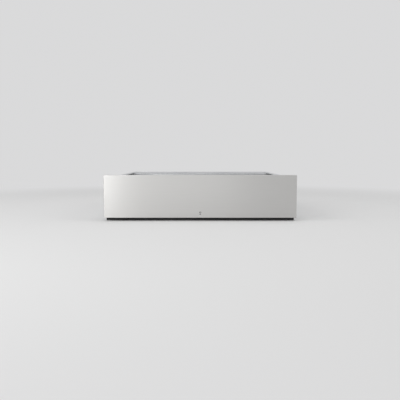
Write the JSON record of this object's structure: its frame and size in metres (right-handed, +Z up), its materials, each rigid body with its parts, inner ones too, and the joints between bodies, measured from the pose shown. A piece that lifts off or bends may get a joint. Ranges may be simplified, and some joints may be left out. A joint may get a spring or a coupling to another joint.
{
  "type": "vacuum sealing drawer",
  "caption": "Built-in vacuum sealing drawer with a flush stainless push-to-open front, a glass-lidded vacuum chamber and a lifting heat-sealing bar.",
  "frame": {"origin": "middle of the underside of the housing, which stands on the niche's floor", "axes": "+X to the user's right, +Y into the niche, +Z up; the front panel faces -Y"},
  "size_m": [0.595, 0.57, 0.142],
  "materials": {
    "brushed_stainless": "satin",
    "deck_stainless": "satin",
    "galvanised_sheet": "matte",
    "zinc_slide_steel": "satin",
    "black_painted_steel": "matte",
    "die_cast_aluminium": "matte",
    "anodised_aluminium": "satin",
    "copper_winding": "satin",
    "wood_fibre_board": "matte",
    "black_plastic": "matte",
    "grey_plastic": "matte",
    "white_plastic": "matte",
    "circuit_board": "satin",
    "black_glass": "gloss",
    "clear_glass": "gloss",
    "black_silicone": "matte",
    "white_silicone": "matte",
    "tape_brown": "satin",
    "heating_wire": "satin"
  },
  "bodies": {
    "housing": {"housing_base": "galvanised_sheet", "housing_side_left": "galvanised_sheet", "housing_side_right": "galvanised_sheet", "housing_rear_wall": "galvanised_sheet", "housing_top_rail": "galvanised_sheet", "housing_top_cover": "galvanised_sheet", "front_frame": "black_painted_steel", "closing_buffers": "black_silicone", "mains_inlet": "black_plastic", "slide_outer_left": "zinc_slide_steel", "slide_outer_right": "zinc_slide_steel", "push_latch_body": "grey_plastic", "push_latch_plunger": "white_plastic"},
    "drawer": {"front_panel": "brushed_stainless", "panel_core": "wood_fibre_board", "front_carrier": "galvanised_sheet", "drawer_base": "galvanised_sheet", "drawer_side_left": "galvanised_sheet", "drawer_side_right": "galvanised_sheet", "drawer_rear_wall": "galvanised_sheet", "deck_plate": "deck_stainless", "pump_cover": "deck_stainless", "vacuum_chamber": "deck_stainless", "chamber_gasket": "black_silicone", "control_glass": "black_glass", "control_board": "circuit_board", "power_board": "circuit_board", "transformer": "copper_winding", "suction_port": "white_plastic", "external_port": "grey_plastic", "pump_motor": "die_cast_aluminium", "pump_head": "die_cast_aluminium", "pump_bracket": "galvanised_sheet", "pump_mounts": "black_silicone", "valve_block": "grey_plastic", "vacuum_hoses": "black_silicone", "fan_frame": "black_plastic", "slide_inner_left": "zinc_slide_steel", "slide_inner_right": "zinc_slide_steel", "hinge_brackets": "anodised_aluminium", "hinge_pins": "zinc_slide_steel", "drawer_screws": "zinc_slide_steel", "seal_cylinders": "anodised_aluminium"},
    "lid": {"lid_glass": "clear_glass", "lid_hinge_profile": "anodised_aluminium", "counter_holder": "black_plastic", "counter_bar": "white_silicone", "lid_handle": "anodised_aluminium"},
    "sealing_bar": {"seal_bar": "black_plastic", "seal_wire": "heating_wire", "seal_tape": "tape_brown", "push_rods": "anodised_aluminium"},
    "fan": {"fan_rotor": "black_plastic"},
    "port_cap": {"port_cap": "black_plastic"},
    "middle_slide_left": {"slide_middle_left": "zinc_slide_steel"},
    "middle_slide_right": {"slide_middle_right": "zinc_slide_steel"},
    "outer_cage_left": {"ball_cage_outer_left": "zinc_slide_steel"},
    "outer_cage_right": {"ball_cage_outer_right": "zinc_slide_steel"},
    "inner_cage_left": {"ball_cage_inner_left": "zinc_slide_steel"},
    "inner_cage_right": {"ball_cage_inner_right": "zinc_slide_steel"}
  },
  "joints": [
    {"name": "drawer_slide", "type": "slide", "parent": "housing", "child": "drawer", "axis": [0, -1, 0], "range_m": [-0.003, 0.43]},
    {"name": "lid_hinge", "type": "hinge", "parent": "drawer", "child": "lid", "pos_m": [0, 0.1179, 0.1238], "axis": [-1, 0, 0], "range_deg": [0, 75]},
    {"name": "seal_bar_lift", "type": "slide", "parent": "drawer", "child": "sealing_bar", "axis": [0, 0, 1], "range_m": [0, 0.007]},
    {"name": "fan_spin", "type": "hinge", "parent": "drawer", "child": "fan", "pos_m": [-0.165, 0.2217, 0.0644], "axis": [0, 1, 0], "continuous": true},
    {"name": "port_cap_hinge", "type": "hinge", "parent": "drawer", "child": "port_cap", "pos_m": [-0.229, -0.1565, 0.12205], "axis": [-1, 0, 0], "range_deg": [0, 100]},
    {"name": "middle_slide_left_run", "type": "slide", "parent": "housing", "child": "middle_slide_left", "axis": [0, -1, 0], "range_m": [-0.002, 0.2155]},
    {"name": "outer_cage_left_run", "type": "slide", "parent": "housing", "child": "outer_cage_left", "axis": [0, -1, 0], "range_m": [-0.00125, 0.108]},
    {"name": "inner_cage_left_run", "type": "slide", "parent": "housing", "child": "inner_cage_left", "axis": [0, -1, 0], "range_m": [-0.00275, 0.323]},
    {"name": "middle_slide_right_run", "type": "slide", "parent": "housing", "child": "middle_slide_right", "axis": [0, -1, 0], "range_m": [-0.002, 0.2155]},
    {"name": "outer_cage_right_run", "type": "slide", "parent": "housing", "child": "outer_cage_right", "axis": [0, -1, 0], "range_m": [-0.00125, 0.108]},
    {"name": "inner_cage_right_run", "type": "slide", "parent": "housing", "child": "inner_cage_right", "axis": [0, -1, 0], "range_m": [-0.00275, 0.323]}
  ],
  "couplings": [
    {"joint": "middle_slide_left_run", "follows": "drawer_slide", "ratio": 0.5},
    {"joint": "outer_cage_left_run", "follows": "drawer_slide", "ratio": 0.25},
    {"joint": "inner_cage_left_run", "follows": "drawer_slide", "ratio": 0.75},
    {"joint": "middle_slide_right_run", "follows": "drawer_slide", "ratio": 0.5},
    {"joint": "outer_cage_right_run", "follows": "drawer_slide", "ratio": 0.25},
    {"joint": "inner_cage_right_run", "follows": "drawer_slide", "ratio": 0.75}
  ]
}
